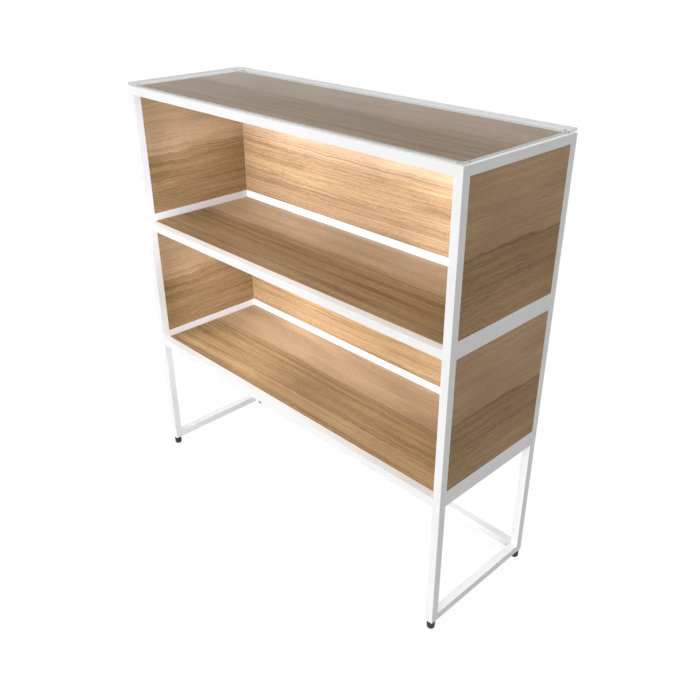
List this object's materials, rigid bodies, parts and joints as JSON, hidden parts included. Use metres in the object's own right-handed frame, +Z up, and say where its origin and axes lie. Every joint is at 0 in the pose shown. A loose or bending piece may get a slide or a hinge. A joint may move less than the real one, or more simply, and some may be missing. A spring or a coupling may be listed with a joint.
{
  "type": "highboard shelf unit",
  "caption": "Open highboard of stacked square-tube steel box frames with wood side, back, top and shelf boards, a clear glass top and screw-adjusted levelling feet.",
  "frame": {"origin": "on the floor, under the middle of the unit", "axes": "+X to the right seen from the front, +Y to the back, +Z up"},
  "size_m": [1.08, 0.36, 1.111],
  "materials": {
    "frame_coat": "fine white powder coat on steel tube",
    "board_veneer": "satin light walnut veneer, grain along the board",
    "clear_glass": "clear float glass, ground edges",
    "clear_pad": "soft clear pad",
    "white_plug": "white moulded plug",
    "dark_plug": "black moulded nylon",
    "foot_black": "black moulded nylon, slightly glossy",
    "foot_sole": "black non-marking sole",
    "plated_steel": "zinc plated"
  },
  "bodies": {
    "cabinet": {"base_post_back_left": "frame_coat", "base_post_back_right": "frame_coat", "base_post_front_left": "frame_coat", "base_post_front_right": "frame_coat", "base_rail_bottom_back": "frame_coat", "base_rail_bottom_left": "frame_coat", "base_rail_bottom_right": "frame_coat", "base_rail_top_back": "frame_coat", "base_rail_top_front": "frame_coat", "base_rail_top_left": "frame_coat", "base_rail_top_right": "frame_coat", "bottom_shelf": "board_veneer", "foot_inserts": "dark_plug", "glass_pads": "clear_pad", "glass_top": "clear_glass", "lower_back_board": "board_veneer", "lower_left_board": "board_veneer", "lower_post_back_left": "frame_coat", "lower_post_back_right": "frame_coat", "lower_post_front_left": "frame_coat", "lower_post_front_right": "frame_coat", "lower_rail_bottom_back": "frame_coat", "lower_rail_bottom_left": "frame_coat", "lower_rail_bottom_right": "frame_coat", "lower_rail_top_back": "frame_coat", "lower_rail_top_front": "frame_coat", "lower_rail_top_left": "frame_coat", "lower_rail_top_right": "frame_coat", "lower_right_board": "board_veneer", "middle_shelf": "board_veneer", "post_caps": "white_plug", "shelf_lugs": "frame_coat", "snap_tongues": "plated_steel", "stacking_spigots": "dark_plug", "top_board": "board_veneer", "upper_back_board": "board_veneer", "upper_left_board": "board_veneer", "upper_post_back_left": "frame_coat", "upper_post_back_right": "frame_coat", "upper_post_front_left": "frame_coat", "upper_post_front_right": "frame_coat", "upper_rail_bottom_back": "frame_coat", "upper_rail_bottom_left": "frame_coat", "upper_rail_bottom_right": "frame_coat", "upper_rail_top_back": "frame_coat", "upper_rail_top_front": "frame_coat", "upper_rail_top_left": "frame_coat", "upper_rail_top_right": "frame_coat", "upper_right_board": "board_veneer"},
    "foot_sole_front_left": {"foot_sole_front_left": "foot_sole"},
    "foot_screw_front_left": {"foot_screw_front_left": "foot_black"},
    "foot_sole_front_right": {"foot_sole_front_right": "foot_sole"},
    "foot_screw_front_right": {"foot_screw_front_right": "foot_black"},
    "foot_sole_back_left": {"foot_sole_back_left": "foot_sole"},
    "foot_screw_back_left": {"foot_screw_back_left": "foot_black"},
    "foot_sole_back_right": {"foot_sole_back_right": "foot_sole"},
    "foot_screw_back_right": {"foot_screw_back_right": "foot_black"}
  },
  "joints": [
    {"name": "foot_travel_front_left", "type": "slide", "parent": "cabinet", "child": "foot_sole_front_left", "axis": [0, 0, -1], "range_m": [0, 0.01]},
    {"name": "foot_turn_front_left", "type": "hinge", "parent": "foot_sole_front_left", "child": "foot_screw_front_left", "pos_m": [-0.53, -0.17, 0.011], "axis": [0, 0, -1], "range_deg": [0, 2880]},
    {"name": "foot_travel_front_right", "type": "slide", "parent": "cabinet", "child": "foot_sole_front_right", "axis": [0, 0, -1], "range_m": [0, 0.01]},
    {"name": "foot_turn_front_right", "type": "hinge", "parent": "foot_sole_front_right", "child": "foot_screw_front_right", "pos_m": [0.53, -0.17, 0.011], "axis": [0, 0, -1], "range_deg": [0, 2880]},
    {"name": "foot_travel_back_left", "type": "slide", "parent": "cabinet", "child": "foot_sole_back_left", "axis": [0, 0, -1], "range_m": [0, 0.01]},
    {"name": "foot_turn_back_left", "type": "hinge", "parent": "foot_sole_back_left", "child": "foot_screw_back_left", "pos_m": [-0.53, 0.17, 0.011], "axis": [0, 0, -1], "range_deg": [0, 2880]},
    {"name": "foot_travel_back_right", "type": "slide", "parent": "cabinet", "child": "foot_sole_back_right", "axis": [0, 0, -1], "range_m": [0, 0.01]},
    {"name": "foot_turn_back_right", "type": "hinge", "parent": "foot_sole_back_right", "child": "foot_screw_back_right", "pos_m": [0.53, 0.17, 0.011], "axis": [0, 0, -1], "range_deg": [0, 2880]}
  ],
  "couplings": [
    {"joint": "foot_travel_front_left", "follows": "foot_turn_front_left", "m_per_rad": 0.00019894},
    {"joint": "foot_travel_front_right", "follows": "foot_turn_front_right", "m_per_rad": 0.00019894},
    {"joint": "foot_travel_back_left", "follows": "foot_turn_back_left", "m_per_rad": 0.00019894},
    {"joint": "foot_travel_back_right", "follows": "foot_turn_back_right", "m_per_rad": 0.00019894}
  ]
}
